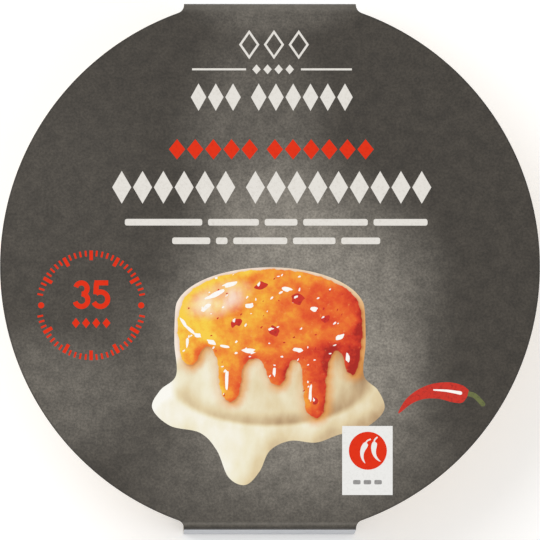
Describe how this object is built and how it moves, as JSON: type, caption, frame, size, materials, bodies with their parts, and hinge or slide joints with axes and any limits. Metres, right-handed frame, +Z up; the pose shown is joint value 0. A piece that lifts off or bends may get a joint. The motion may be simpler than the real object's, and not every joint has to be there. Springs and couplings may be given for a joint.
{
  "type": "sleeved round pack of baking camembert",
  "caption": "Shut round pack of baking camembert: a thin wooden box inside a folded card sleeve, whose round face is printed with a glazed baked cheese on slate.",
  "frame": {"origin": "centre of the pack's underside, on the surface it lies on", "axes": "+Z up out of the printed face, +Y to the top of the print, +X to the print's right"},
  "size_m": [0.122, 0.119, 0.038],
  "materials": {
    "card": "satin printed card with a pale unprinted back",
    "wood": "thin sawn poplar, unfinished"
  },
  "bodies": {
    "root": {"sleeve": "card", "box_base": "wood", "box_lid": "wood"}
  },
  "joints": []
}
